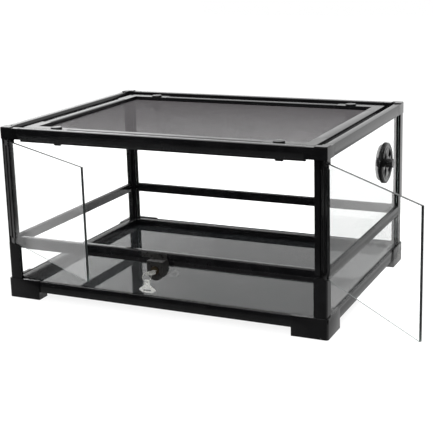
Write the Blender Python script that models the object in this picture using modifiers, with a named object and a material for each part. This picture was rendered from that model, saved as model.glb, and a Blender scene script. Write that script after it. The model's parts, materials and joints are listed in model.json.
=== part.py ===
import math

import bmesh
import bpy
from mathutils import Matrix

# A glass terrarium of grooved rails and corner posts, with two swinging doors, a lift-off screen lid,
# a sill lock with its key and a round side vent. Metres, +Z up. The cabinet is laid out about the
# middle of its footprint, front towards -Y, and the finished model is then moved so that the bottom
# centre of its bounding box, with both doors open, is the origin.

# Cabinet over the posts, and ground to the top of the rails
WIDTH = 0.600
DEPTH = 0.450
HEIGHT = 0.310
CLEARANCE = 0.0003

# Glass and the grooves that hold it
GLASS = 0.004
GLASS_INSET = 0.004
GROOVE = 0.005
GROOVE_SPARE = 0.0005

# Rails and posts
RAIL = 0.020
RAIL_EDGE = 0.0008
MID_BOTTOM = 0.0938
MID_RAIL = 0.017
FRONT_POST_WIDTH = 0.0225
POST_CORNER = 0.0035

# Feet
FOOT_HEIGHT = 0.035
FOOT_SEAT = 0.0132
FOOT_LIP = 0.0011
FLOOR_RISE = 0.0078
FOOT_PROUD = 0.0025
FOOT_LEG_X = 0.063
FOOT_LEG_Y = 0.0605
FOOT_CORNER = 0.0045
FOOT_EDGE = 0.0007

# Door sill and the rebate that the doors close into
SILL_WALL = 0.0015
SILL_STEP = 0.010
SILL_GROOVE = 0.0035
SILL_CHANNEL = 0.0012
REBATE = 0.0065
FIN = 0.0025
FIN_FRONT = 0.0028
SEAL_GROOVE_START = 0.008
SEAL_GROOVE_WIDTH = 0.0055
SEAL_GROOVE_DEPTH = 0.003

# Top rails and the ledge under the lid
TOP_RAIL = 0.0195
TOP_PROUD = 0.001
LIP = 0.012
LEDGE_DROP = 0.0125
LEDGE_THICKNESS = 0.003
LEDGE_REACH = 0.035
TOP_GROOVE = 0.004
STOP_LIP_DROP = 0.005
STOP_LIP = 0.0035
CORNER_ARM = 0.036
CORNER_CAP_ARM = 0.020
CORNER_CAP_RISE = 0.0015
CORNER_CAP_STEP = 0.0005

# Doors, in the order of the opening: axis, pane, shoes and pins
HINGE_INSET = 0.0065
HINGE_SETBACK = 0.0025
DOOR_LOWER_GAP = 0.004
DOOR_UPPER_GAP = 0.0018
DOOR_HEEL = 0.003
DOOR_GAP = 0.002
SHOE_LENGTH = 0.019
SHOE_CHEEK_START = 0.006
SHOE_CHEEK = 0.0012
SHOE_HEIGHT = 0.008
SHOE_PLATE = 0.0012
PIN_RADIUS = 0.0011
PIN_BORE_RADIUS = 0.0014
PIN_DEPTH = 0.0055
LEFT_DOOR_OPEN = math.radians(30.8)
RIGHT_DOOR_OPEN = math.radians(134.5)

# Screen lid
LID_INSET = 0.028
LID_BAR = 0.020
LID_THICKNESS = 0.009
LID_CORNER = 0.004
LID_ARM_X = 0.090
LID_ARM_Y = 0.061
SCREEN_THICKNESS = 0.0008
SCREEN_LIFT = 0.001
SCREEN_SEAT = 0.003
SCREEN_COLUMNS = 20
SCREEN_ROWS = 13
SCREEN_STRAND = 0.0016

# Lid catches
CATCH_ALONG = 0.064
CATCH_HEAD_RADIUS = 0.010
CATCH_HEAD = 0.0022
CATCH_SHAFT_RADIUS = 0.0025
CATCH_SLOT = 0.0016
CATCH_SLOT_DEPTH = 0.001
TAB_WIDTH = 0.022
TAB_FOOT_WIDTH = 0.012
TAB_THICKNESS = 0.0025
TAB_LENGTH = 0.0179
TAB_TAPER = 0.008

# Sill lock
LOCK_X = 0.007
LOCK_WIDTH = 0.030
LOCK_TOP_GAP = 0.0004
LOCK_HEIGHT = 0.0329
LOCK_PROUD = 0.020
LOCK_AXIS_DROP = 0.0154
LOCK_EDGE = 0.0008
BRACKET = 0.0012
BRACKET_LEFT_REACH = 0.038
BRACKET_RIGHT_REACH = 0.0095
BRACKET_STAND = 0.0092
BRACKET_DROP = 0.0178
CYLINDER_RADIUS = 0.0075
CYLINDER_PROUD = 0.0015
BOLT_WIDTH = 0.026
BOLT_STEM_WIDTH = 0.022
BOLT_SHOULDER = 0.002
BOLT_BELOW = 0.009
BOLT_ABOVE = 0.014
BOLT_THICKNESS = 0.006
CAM_THROW = 0.0055
CAM_PIN_RADIUS = 0.0015

# Key, split ring and tag
KEY_THICKNESS = 0.002
KEY_BLADE_WIDTH = 0.007
KEY_BOW_RADIUS = 0.0085
KEY_BOW_REACH = 0.015
KEY_TIP_GAP = 0.002
KEY_HOLE_RADIUS = 0.003
KEY_HOLE_OFFSET = 0.0021
RING_RADIUS = 0.0075
RING_WIRE = 0.0006
RING_HEADING = math.radians(225)
TAG_THICKNESS = 0.0012
TAG_NECK_WIDTH = 0.009
TAG_WIDTH = 0.032
TAG_HEIGHT = 0.022
TAG_NECK_HEIGHT = 0.0085
TAG_FOOT_WIDTH = 0.018
TAG_FOOT_HEIGHT = 0.0045
TAG_HOLE_RADIUS = 0.0018
TAG_SLOT_WIDTH = 0.016
TAG_SLOT_HEIGHT = 0.0034

# Side vent
VENT_SETBACK = 0.1075
VENT_DROP = 0.095
VENT_RADIUS = 0.040
VENT_FLANGE = 0.002
VENT_RIM = 0.007
VENT_NECK_WALL = 0.003
VENT_NECK_LENGTH = 0.013
VENT_HUB_RADIUS = 0.0028
VENT_NUT = 0.006
VENT_NUT_RIDGES = 24
VENT_NUT_GRIP = 0.001
DIAL_INSET = 0.0005
DIAL_THICKNESS = 0.0068
DIAL_WEB = 0.0045
DIAL_HUB_RADIUS = 0.013
DIAL_RING_RADIUS = 0.027
DIAL_RING_WIDTH = 0.0022
DIAL_RIM_RADIUS = 0.0329
DIAL_RIM_WIDTH = 0.0016
DIAL_RIM_DROP = 0.0006
DIAL_VALLEY_DROP = 0.0016
DIAL_DRAFT = 0.0004
KNOB_RADIUS = 0.0082
KNOB_HEIGHT = 0.018
KNOB_RIDGES = 14
KNOB_RIDGE = 0.0006
SECTOR_INNER = 0.014
SECTOR_OUTER = 0.0255
SECTOR_ANGLE = math.radians(40)
SECTORS = 4
AXLE_RADIUS = 0.0025

# Values that follow from the ones above
GROOVE_NEAR = GLASS_INSET - CLEARANCE
GROOVE_FAR = GLASS_INSET + GLASS + CLEARANCE
INSERT = GROOVE - GROOVE_SPARE
BASE_BOTTOM = FOOT_SEAT + CLEARANCE
BASE_TOP = FOOT_HEIGHT - FOOT_LIP - CLEARANCE
FLOOR_TOP = FOOT_SEAT + FLOOR_RISE
MID_TOP = MID_BOTTOM + MID_RAIL
SILL_WALL_TOP = MID_TOP - SILL_STEP
TOP_BOTTOM = HEIGHT - TOP_RAIL
LEDGE_TOP = HEIGHT - LEDGE_DROP
LEDGE_BOTTOM = LEDGE_TOP - LEDGE_THICKNESS
LID_BOTTOM = LEDGE_TOP + CLEARANCE
LID_TOP = LID_BOTTOM + LID_THICKNESS
LID_HALF_X = WIDTH / 2 - LID_INSET
LID_HALF_Y = DEPTH / 2 - LID_INSET
CATCH_X = LID_HALF_X - CATCH_ALONG
CATCH_Y = LID_HALF_Y - LID_BAR / 2
TAB_TOP = LEDGE_BOTTOM - 2 * CLEARANCE
TAB_BOTTOM = TAB_TOP - TAB_LENGTH
SPAN_X = WIDTH / 2 - RAIL
SPAN_FRONT = WIDTH / 2 - FRONT_POST_WIDTH
SPAN_Y = DEPTH / 2 - RAIL
SILL_LIP = REBATE
SILL_CHANNEL_FLOOR = MID_BOTTOM + SILL_GROOVE + SILL_CHANNEL
HINGE_X = WIDTH / 2 - HINGE_INSET
HINGE_Y = -DEPTH / 2 + HINGE_SETBACK
DOOR_REACH = HINGE_X - DOOR_GAP / 2
DOOR_BOTTOM = SILL_WALL_TOP + DOOR_LOWER_GAP
DOOR_TOP = TOP_BOTTOM - DOOR_UPPER_GAP
LOCK_TOP = DOOR_BOTTOM - LOCK_TOP_GAP
LOCK_BOTTOM = LOCK_TOP - LOCK_HEIGHT
LOCK_FRONT = -DEPTH / 2 - LOCK_PROUD
LOCK_AXIS_Z = LOCK_TOP - LOCK_AXIS_DROP
BOLT_BOTTOM = LOCK_AXIS_Z - BOLT_BELOW
BOLT_TOP = LOCK_AXIS_Z + BOLT_ABOVE
KEY_BOW_Y = LOCK_FRONT - KEY_BOW_REACH
VENT_Y = DEPTH / 2 - VENT_SETBACK
VENT_Z = HEIGHT - VENT_DROP
VENT_NECK_RADIUS = VENT_RADIUS - VENT_RIM
DIAL_RADIUS = VENT_RADIUS - DIAL_INSET
EPS = 0.001

COLOURS = {
    "frame_black": ((0.018, 0.018, 0.020), 0.42, 0.0),
    "glass_clear": ((0.80, 0.88, 0.86), 0.03, 0.0),
    "glass_black": ((0.010, 0.011, 0.012), 0.05, 0.0),
    "screen_black": ((0.030, 0.030, 0.032), 0.50, 0.3),
    "lock_black": ((0.020, 0.019, 0.018), 0.35, 0.0),
    "steel": ((0.62, 0.62, 0.60), 0.28, 1.0),
}


def clear_scene():
    for obj in list(bpy.data.objects):
        bpy.data.objects.remove(obj, do_unlink=True)


def new_collection(name):
    collection = bpy.data.collections.new(name)
    bpy.context.scene.collection.children.link(collection)
    return collection


def new_material(name):
    colour, roughness, metallic = COLOURS[name]
    material = bpy.data.materials.new(name)
    material.use_nodes = True
    shader = material.node_tree.nodes["Principled BSDF"]
    shader.inputs["Base Color"].default_value = (*colour, 1.0)
    shader.inputs["Roughness"].default_value = roughness
    shader.inputs["Metallic"].default_value = metallic
    return material


clear_scene()
PARTS = new_collection("terrarium")
CUTTERS = new_collection("cutters")
CUTTERS.hide_render = True
MATERIALS = {name: new_material(name) for name in COLOURS}


# Outlines

def arc(centre, radius, start, end, steps):
    points = []
    for i in range(steps + 1):
        angle = start + (end - start) * i / steps
        points.append((centre[0] + radius * math.cos(angle), centre[1] + radius * math.sin(angle)))
    return points


def circle(centre, radius, steps):
    return arc(centre, radius, 0.0, math.tau * (1 - 1 / steps), steps - 1)


def rounded(corners, steps=3):
    """Corners are (x, y) or (x, y, radius); a radius turns the corner into an arc of that many steps."""
    points = []
    count = len(corners)
    for i, corner in enumerate(corners):
        if len(corner) == 2:
            points.append(corner)
            continue
        x, y, radius = corner
        before = corners[i - 1]
        after = corners[(i + 1) % count]
        ax, ay = before[0] - x, before[1] - y
        bx, by = after[0] - x, after[1] - y
        la, lb = math.hypot(ax, ay), math.hypot(bx, by)
        ax, ay, bx, by = ax / la, ay / la, bx / lb, by / lb
        half = math.acos(max(-1.0, min(1.0, ax * bx + ay * by))) / 2
        reach = radius / math.tan(half)
        mx, my = ax + bx, ay + by
        lm = math.hypot(mx, my)
        cx = x + mx / lm * radius / math.sin(half)
        cy = y + my / lm * radius / math.sin(half)
        start = math.atan2(y + ay * reach - cy, x + ax * reach - cx)
        end = math.atan2(y + by * reach - cy, x + bx * reach - cx)
        turn = (end - start + math.pi) % math.tau - math.pi
        points.extend(arc((cx, cy), radius, start, start + turn, steps))
    return points


# Meshes

def outward(mesh):
    shape = bmesh.new()
    shape.from_mesh(mesh)
    bmesh.ops.remove_doubles(shape, verts=shape.verts, dist=1e-6)
    bmesh.ops.recalc_face_normals(shape, faces=shape.faces)
    shape.to_mesh(mesh)
    shape.free()
    return mesh


def evaluated_mesh(obj):
    graph = bpy.context.evaluated_depsgraph_get()
    return bpy.data.meshes.new_from_object(obj.evaluated_get(graph))


def plate(loops, low, high):
    """A flat outline, with any holes as further loops, from low to high along local Z."""
    curve = bpy.data.curves.new("outline", "CURVE")
    curve.dimensions = "2D"
    curve.fill_mode = "BOTH"
    curve.extrude = (high - low) / 2
    for loop in loops:
        spline = curve.splines.new("POLY")
        spline.points.add(len(loop) - 1)
        for point, (x, y) in zip(spline.points, loop):
            point.co = (x, y, 0.0, 1.0)
        spline.use_cyclic_u = True
    helper = bpy.data.objects.new("outline", curve)
    CUTTERS.objects.link(helper)
    mesh = evaluated_mesh(helper)
    bpy.data.objects.remove(helper)
    bpy.data.curves.remove(curve)
    mesh.transform(Matrix.Translation((0, 0, (low + high) / 2)))
    return outward(mesh)


def block(low, high):
    mesh = bpy.data.meshes.new("block")
    shape = bmesh.new()
    bmesh.ops.create_cube(shape, size=1.0)
    shape.to_mesh(mesh)
    shape.free()
    size = [b - a for a, b in zip(low, high)]
    middle = [(a + b) / 2 for a, b in zip(low, high)]
    mesh.transform(Matrix.Translation(middle) @ Matrix.Diagonal((*size, 1.0)))
    return mesh


def rod(centre, radius, low, high, steps=24):
    """A round bar along Z about centre (x, y)."""
    return plate([circle(centre, radius, steps)], low, high)


def turned(profile, steps):
    """A closed profile of (radius, height) turned about Z."""
    mesh = bpy.data.meshes.new("profile")
    edges = [(i, (i + 1) % len(profile)) for i in range(len(profile))]
    on_axis = profile[0][0] == 0.0 and profile[-1][0] == 0.0
    if on_axis:
        edges = edges[:-1]
    mesh.from_pydata([(r, 0.0, z) for r, z in profile], edges, [])
    helper = bpy.data.objects.new("profile", mesh)
    CUTTERS.objects.link(helper)
    screw = helper.modifiers.new("turn", "SCREW")
    screw.steps = steps
    screw.render_steps = steps
    screw.use_merge_vertices = True
    screw.merge_threshold = 1e-6
    result = evaluated_mesh(helper)
    bpy.data.objects.remove(helper)
    bpy.data.meshes.remove(mesh)
    return outward(result)


def shaped(base, cuts=(), joins=()):
    """The base mesh with other meshes joined to it and then others cut out of it."""
    work = bpy.data.objects.new("work", base)
    CUTTERS.objects.link(work)
    helpers = []
    for operation, meshes in (("UNION", joins), ("DIFFERENCE", cuts)):
        for mesh in meshes:
            helper = bpy.data.objects.new("cutter", mesh)
            helper.hide_render = True
            helper.display_type = "WIRE"
            CUTTERS.objects.link(helper)
            helpers.append(helper)
            boolean = work.modifiers.new(operation.lower(), "BOOLEAN")
            boolean.operation = operation
            boolean.solver = "EXACT"
            boolean.object = helper
    result = evaluated_mesh(work)
    for obj in [work] + helpers:
        bpy.data.objects.remove(obj)
    return outward(result)


def moved(mesh, matrix):
    """A copy of the mesh under a matrix, turned right side out if the matrix mirrors it."""
    copy = mesh.copy()
    copy.transform(matrix)
    if matrix.determinant() < 0:
        copy.flip_normals()
    return copy


def bevelled(mesh, width, limit=math.radians(60)):
    helper = bpy.data.objects.new("edge", mesh)
    CUTTERS.objects.link(helper)
    bevel = helper.modifiers.new("edge", "BEVEL")
    bevel.width = width
    bevel.segments = 1
    bevel.limit_method = "ANGLE"
    bevel.angle_limit = limit
    result = evaluated_mesh(helper)
    bpy.data.objects.remove(helper)
    return outward(result)


# Objects and their places

def piece(name, mesh, material, parent=None, place=None):
    mesh.name = name
    mesh.materials.clear()
    mesh.materials.append(MATERIALS[material])
    mesh.shade_smooth()
    mesh.set_sharp_from_angle(angle=math.radians(30))
    obj = bpy.data.objects.new(name, mesh)
    PARTS.objects.link(obj)
    obj.parent = parent or DATUM
    if place is not None:
        obj.matrix_local = place
    return obj


def station(name, place, parent=None):
    """An empty that pieces are placed from."""
    empty = bpy.data.objects.new(name, None)
    empty.empty_display_size = 0.02
    PARTS.objects.link(empty)
    empty.parent = parent
    empty.matrix_local = place
    return empty


def side_place(side):
    """Local X along a side, local Y inward from its outer face."""
    half = DEPTH / 2 if side in ("front", "rear") else WIDTH / 2
    turn = {"front": 0, "right": 90, "rear": 180, "left": 270}[side]
    return Matrix.Rotation(math.radians(turn), 4, "Z") @ Matrix.Translation((0, -half, 0))


# An outline drawn as (inward, height) becomes a section in local YZ, run along local X
SECTION = Matrix(((0, 0, 1, 0), (1, 0, 0, 0), (0, 1, 0, 0), (0, 0, 0, 1)))
# An outline drawn as (along, height) stands in local XZ, its thickness along local -Y
UPRIGHT = Matrix.Rotation(math.radians(90), 4, "X")
# Outward from the right side: local Z becomes +X
SIDEWAYS = Matrix.Rotation(math.radians(90), 4, "Y")

DATUM = station("terrarium_datum", Matrix())
SIDES = {side: station(side + "_side", side_place(side), DATUM) for side in ("front", "right", "rear", "left")}
CORNERS = {
    "front_left": (-1, -1),
    "front_right": (1, -1),
    "rear_left": (-1, 1),
    "rear_right": (1, 1),
}


def half_span(side):
    """Half the distance between the posts at the two ends of a side."""
    return {"front": SPAN_FRONT, "rear": SPAN_X}.get(side, SPAN_Y)


def run(outline, half):
    """A section run along a side, half its length to each side of the middle."""
    return moved(plate([outline], -half, half), SECTION)


def corner_piece(name, mesh, material, corner):
    """A mesh drawn inward from an outer corner, mirrored to that corner."""
    x, y = CORNERS[corner]
    place = Matrix.Translation((x * WIDTH / 2, y * DEPTH / 2, 0))
    return piece(name, moved(mesh, Matrix.Diagonal((-x, -y, 1, 1))), material, DATUM, place)


# Frame

def foot_mesh(post_width):
    """A seat for two rail ends and a post: tall outside with a lip over the rails, low under the floor."""
    outer = -FOOT_PROUD
    inner = RAIL + FOOT_PROUD
    leg_x = FOOT_LEG_X - FOOT_PROUD
    leg_y = FOOT_LEG_Y - FOOT_PROUD
    outline = rounded([
        (outer, outer, FOOT_CORNER),
        (leg_x, outer),
        (leg_x, inner),
        (inner, inner),
        (inner, leg_y),
        (outer, leg_y),
    ], 5)
    near, far = -CLEARANCE, RAIL + CLEARANCE
    roof = BASE_TOP + CLEARANCE
    under_floor = FLOOR_TOP - GLASS - CLEARANCE
    end_x, end_y = leg_x + EPS, leg_y + EPS
    top = FOOT_HEIGHT + EPS
    cuts = [
        block((near, near, FOOT_SEAT), (end_x, far, roof)),
        block((near, near, FOOT_SEAT), (far, end_y, roof)),
        block((near, near, FOOT_SEAT), (post_width + CLEARANCE, far, top)),
        block((RAIL, RAIL, under_floor), (end_x, end_y, top)),
        block((RAIL - EPS, GROOVE_NEAR, roof - EPS), (end_x, RAIL + EPS, top)),
        block((GROOVE_NEAR, RAIL - EPS, roof - EPS), (RAIL + EPS, end_y, top)),
    ]
    return shaped(bevelled(plate([outline], 0, FOOT_HEIGHT), FOOT_EDGE), cuts)


def base_outline():
    floor_low = FLOOR_TOP - GLASS - CLEARANCE
    floor_high = FLOOR_TOP + CLEARANCE
    return rounded([
        (0, BASE_BOTTOM, RAIL_EDGE),
        (RAIL, BASE_BOTTOM),
        (RAIL, floor_low),
        (RAIL - GROOVE, floor_low),
        (RAIL - GROOVE, floor_high),
        (RAIL, floor_high),
        (RAIL, BASE_TOP, RAIL_EDGE),
        (GROOVE_FAR, BASE_TOP),
        (GROOVE_FAR, BASE_TOP - GROOVE),
        (GROOVE_NEAR, BASE_TOP - GROOVE),
        (GROOVE_NEAR, BASE_TOP),
        (0, BASE_TOP, RAIL_EDGE),
    ], 2)


def mid_outline():
    return rounded([
        (0, MID_BOTTOM, RAIL_EDGE),
        (GROOVE_NEAR, MID_BOTTOM),
        (GROOVE_NEAR, MID_BOTTOM + GROOVE),
        (GROOVE_FAR, MID_BOTTOM + GROOVE),
        (GROOVE_FAR, MID_BOTTOM),
        (RAIL, MID_BOTTOM, RAIL_EDGE),
        (RAIL, MID_TOP, RAIL_EDGE),
        (GROOVE_FAR, MID_TOP),
        (GROOVE_FAR, MID_TOP - GROOVE),
        (GROOVE_NEAR, MID_TOP - GROOVE),
        (GROOVE_NEAR, MID_TOP),
        (0, MID_TOP, RAIL_EDGE),
    ], 2)


def sill_outline():
    return rounded([
        (0, MID_BOTTOM, RAIL_EDGE),
        (GROOVE_NEAR, MID_BOTTOM),
        (GROOVE_NEAR, MID_BOTTOM + SILL_GROOVE),
        (GROOVE_FAR, MID_BOTTOM + SILL_GROOVE),
        (GROOVE_FAR, MID_BOTTOM),
        (RAIL, MID_BOTTOM, RAIL_EDGE),
        (RAIL, MID_TOP, RAIL_EDGE),
        (SILL_LIP, MID_TOP, RAIL_EDGE),
        (SILL_LIP, SILL_CHANNEL_FLOOR),
        (SILL_WALL, SILL_CHANNEL_FLOOR),
        (SILL_WALL, SILL_WALL_TOP),
        (0, SILL_WALL_TOP),
    ], 2)


def top_outline():
    return rounded([
        (-TOP_PROUD, TOP_BOTTOM, RAIL_EDGE),
        (GROOVE_NEAR, TOP_BOTTOM),
        (GROOVE_NEAR, TOP_BOTTOM + TOP_GROOVE),
        (GROOVE_FAR, TOP_BOTTOM + TOP_GROOVE),
        (GROOVE_FAR, TOP_BOTTOM),
        (RAIL, TOP_BOTTOM),
        (RAIL, LEDGE_BOTTOM),
        (LEDGE_REACH, LEDGE_BOTTOM),
        (LEDGE_REACH, LEDGE_TOP),
        (LIP, LEDGE_TOP),
        (LIP, HEIGHT, RAIL_EDGE),
        (-TOP_PROUD, HEIGHT, RAIL_EDGE),
    ], 2)


def door_top_outline():
    return rounded([
        (-TOP_PROUD, TOP_BOTTOM, RAIL_EDGE),
        (REBATE, TOP_BOTTOM),
        (REBATE, TOP_BOTTOM - STOP_LIP_DROP),
        (REBATE + STOP_LIP, TOP_BOTTOM - STOP_LIP_DROP),
        (REBATE + STOP_LIP, TOP_BOTTOM),
        (RAIL, TOP_BOTTOM),
        (RAIL, LEDGE_BOTTOM),
        (LEDGE_REACH, LEDGE_BOTTOM),
        (LEDGE_REACH, LEDGE_TOP),
        (LIP, LEDGE_TOP),
        (LIP, HEIGHT, RAIL_EDGE),
        (-TOP_PROUD, HEIGHT, RAIL_EDGE),
    ], 2)


def post_outline(width, rear_groove):
    corners = [(0, 0, POST_CORNER), (width, 0)]
    if rear_groove:
        corners += [
            (width, GROOVE_NEAR),
            (width - GROOVE, GROOVE_NEAR),
            (width - GROOVE, GROOVE_FAR),
            (width, GROOVE_FAR),
        ]
    corners += [
        (width, RAIL),
        (GROOVE_FAR, RAIL),
        (GROOVE_FAR, RAIL - GROOVE),
        (GROOVE_NEAR, RAIL - GROOVE),
        (GROOVE_NEAR, RAIL),
        (0, RAIL),
    ]
    return rounded(corners, 5)


def front_post_mesh():
    """Full section below the sill's shoulder; above it the front is set back for the door pane."""
    width = FRONT_POST_WIDTH
    top = TOP_BOTTOM - CLEARANCE
    pane_top = MID_BOTTOM + SILL_GROOVE
    seal_end = SEAL_GROOVE_START + SEAL_GROOVE_WIDTH
    shoulder = SILL_WALL_TOP
    cuts = [
        block((width - GROOVE, GROOVE_NEAR, BASE_BOTTOM - EPS), (width + EPS, GROOVE_FAR, pane_top)),
        block((FIN, -EPS, shoulder), (width + EPS, REBATE, top + EPS)),
        block((-EPS, -EPS, shoulder), (FIN + EPS, FIN_FRONT, top + EPS)),
        block((SEAL_GROOVE_START, REBATE - EPS, shoulder), (seal_end, REBATE + SEAL_GROOVE_DEPTH, top + EPS)),
        rod((HINGE_INSET, HINGE_SETBACK), PIN_BORE_RADIUS, shoulder - PIN_DEPTH - CLEARANCE, shoulder + EPS, 16),
    ]
    return shaped(plate([post_outline(width, False)], BASE_BOTTOM, top), cuts)


def top_corner_mesh(front):
    outer = -TOP_PROUD
    outline = rounded([
        (outer, outer, POST_CORNER + TOP_PROUD),
        (CORNER_ARM, outer),
        (CORNER_ARM, CORNER_ARM),
        (outer, CORNER_ARM),
    ], 5)
    step = outer + CORNER_CAP_STEP
    cap = rounded([
        (step, step, POST_CORNER + TOP_PROUD - CORNER_CAP_STEP),
        (CORNER_CAP_ARM, step),
        (CORNER_CAP_ARM, LIP),
        (LIP, LIP),
        (LIP, CORNER_CAP_ARM),
        (step, CORNER_CAP_ARM),
    ], 5)
    far = CORNER_ARM + EPS
    low = TOP_BOTTOM - EPS
    groove_top = TOP_BOTTOM + TOP_GROOVE
    cuts = [
        block((LIP, LIP, LEDGE_TOP), (far, far, HEIGHT + 2 * EPS)),
        block((RAIL, RAIL, low), (far, far, LEDGE_BOTTOM)),
        block((GROOVE_NEAR, RAIL - GROOVE, low), (GROOVE_FAR, far, groove_top)),
    ]
    if front:
        cuts.append(rod((HINGE_INSET, HINGE_SETBACK), PIN_BORE_RADIUS, low, TOP_BOTTOM + PIN_DEPTH + EPS, 16))
    else:
        cuts.append(block((RAIL - GROOVE, GROOVE_NEAR, low), (far, GROOVE_FAR, groove_top)))
    body = plate([outline], TOP_BOTTOM, HEIGHT)
    raised = plate([cap], HEIGHT - EPS, HEIGHT + CORNER_CAP_RISE)
    return shaped(body, cuts, [raised])


def build_frame():
    feet = {True: foot_mesh(FRONT_POST_WIDTH), False: foot_mesh(RAIL)}
    rear_post = plate([post_outline(RAIL, True)], BASE_BOTTOM, TOP_BOTTOM - CLEARANCE)
    posts = {True: front_post_mesh(), False: rear_post}
    top_corners = {True: top_corner_mesh(True), False: top_corner_mesh(False)}
    for corner, (_, y) in CORNERS.items():
        front = y < 0
        corner_piece(corner + "_foot", feet[front], "frame_black", corner)
        corner_piece(corner + "_post", posts[front], "frame_black", corner)
        corner_piece(corner + "_top_corner", top_corners[front], "frame_black", corner)
    for side, parent in SIDES.items():
        half = half_span(side) - CLEARANCE
        front = side == "front"
        outer = WIDTH / 2 if side in ("front", "rear") else DEPTH / 2
        top_half = outer - CORNER_ARM - CLEARANCE
        piece(side + "_base_rail", run(base_outline(), half), "frame_black", parent)
        mid_name = "door_sill" if front else side + "_mid_rail"
        piece(mid_name, run(sill_outline() if front else mid_outline(), half), "frame_black", parent)
        top = door_top_outline() if front else top_outline()
        piece(side + "_top_rail", run(top, top_half), "frame_black", parent)


# Glass

def build_panes():
    floor_x = SPAN_X + INSERT
    floor_y = SPAN_Y + INSERT
    floor = block((-floor_x, -floor_y, FLOOR_TOP - GLASS), (floor_x, floor_y, FLOOR_TOP))
    corners = []
    for x in (-1, 1):
        for y, span_x in ((-1, SPAN_FRONT), (1, SPAN_X)):
            inner = (x * (span_x - CLEARANCE), y * (SPAN_Y - CLEARANCE))
            outer = (x * (floor_x + EPS), y * (floor_y + EPS))
            low = (min(inner[0], outer[0]), min(inner[1], outer[1]), 0)
            high = (max(inner[0], outer[0]), max(inner[1], outer[1]), BASE_TOP)
            corners.append(block(low, high))
    piece("floor_pane", shaped(floor, corners), "glass_black")
    near, far = GLASS_INSET, GLASS_INSET + GLASS
    low = BASE_TOP - INSERT
    for side, parent in SIDES.items():
        half = half_span(side) + INSERT
        front = side == "front"
        top = MID_BOTTOM + (SILL_GROOVE - GROOVE_SPARE if front else INSERT)
        piece(side + "_lower_pane", block((-half, near, low), (half, far, top)), "glass_clear", parent)
        if front:
            continue
        upper_low = MID_TOP - INSERT
        upper_high = TOP_BOTTOM + TOP_GROOVE - GROOVE_SPARE
        upper = block((-half, near, upper_low), (half, far, upper_high))
        if side == "right":
            hole = rod((VENT_Z, VENT_Y), VENT_NECK_RADIUS + CLEARANCE, near - EPS, far + EPS, 48)
            swap = Matrix(((0, 1, 0, 0), (0, 0, 1, 0), (1, 0, 0, 0), (0, 0, 0, 1)))
            upper = shaped(upper, [moved(hole, swap)])
        piece(side + "_upper_pane", upper, "glass_clear", parent)


# Doors

def shoe_mesh(pin_tip):
    """A pivot shoe under a pane's hinge corner: the pane's lower edge at height 0, the pin on the axis."""
    half = GLASS / 2 + CLEARANCE + SHOE_CHEEK
    seat = -CLEARANCE
    bottom = seat - SHOE_PLATE
    outline = [
        (-DOOR_HEEL, bottom),
        (SHOE_LENGTH, bottom),
        (SHOE_LENGTH, SHOE_HEIGHT),
        (SHOE_CHEEK_START, SHOE_HEIGHT),
        (SHOE_CHEEK_START, seat),
        (-DOOR_HEEL, seat),
    ]
    body = moved(plate([outline], -half, half), UPRIGHT)
    slot = GLASS / 2 + CLEARANCE
    neck = GLASS / 2
    pin = rod((0, 0), PIN_RADIUS, pin_tip, bottom + SHOE_PLATE / 2, 16)
    cuts = [
        block((-DOOR_HEEL - EPS, -slot, seat), (SHOE_LENGTH + EPS, slot, SHOE_HEIGHT + EPS)),
        block((-DOOR_HEEL - EPS, neck, bottom - EPS), (SHOE_CHEEK_START, half + EPS, SHOE_HEIGHT)),
        block((-DOOR_HEEL - EPS, -half - EPS, bottom - EPS), (SHOE_CHEEK_START, -neck, SHOE_HEIGHT)),
    ]
    return shaped(shaped(body, cuts), (), [pin])


def build_door(name, side, opened):
    """Side is -1 for the left door and 1 for the right one; the pane runs from the axis to the middle."""
    turn = Matrix.Rotation(side * opened, 4, "Z")
    axis = station(name + "_axis", Matrix.Translation((side * HINGE_X, HINGE_Y, 0)) @ turn, DATUM)
    flip = Matrix.Diagonal((-side, 1, 1, 1))
    pane = block((-DOOR_HEEL, -GLASS / 2, DOOR_BOTTOM), (DOOR_REACH, GLASS / 2, DOOR_TOP))
    piece(name + "_pane", moved(pane, flip), "glass_clear", axis)
    lower = shoe_mesh(SILL_WALL_TOP - PIN_DEPTH - DOOR_BOTTOM)
    upper = shoe_mesh(DOOR_TOP - TOP_BOTTOM - PIN_DEPTH)
    lower_place = Matrix.Translation((0, 0, DOOR_BOTTOM))
    upper_place = Matrix.Translation((0, 0, DOOR_TOP)) @ Matrix.Diagonal((1, 1, -1, 1))
    piece(name + "_lower_shoe", moved(lower, flip @ lower_place), "frame_black", axis)
    piece(name + "_upper_shoe", moved(upper, flip @ upper_place), "frame_black", axis)


# Lid

def lid_bar_outline():
    slot_low = SCREEN_LIFT - CLEARANCE
    slot_high = SCREEN_LIFT + SCREEN_THICKNESS + CLEARANCE
    return rounded([
        (0, 0, RAIL_EDGE),
        (LID_BAR, 0),
        (LID_BAR, slot_low),
        (LID_BAR - SCREEN_SEAT, slot_low),
        (LID_BAR - SCREEN_SEAT, slot_high),
        (LID_BAR, slot_high),
        (LID_BAR, LID_THICKNESS, RAIL_EDGE),
        (0, LID_THICKNESS, RAIL_EDGE),
    ], 2)


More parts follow.
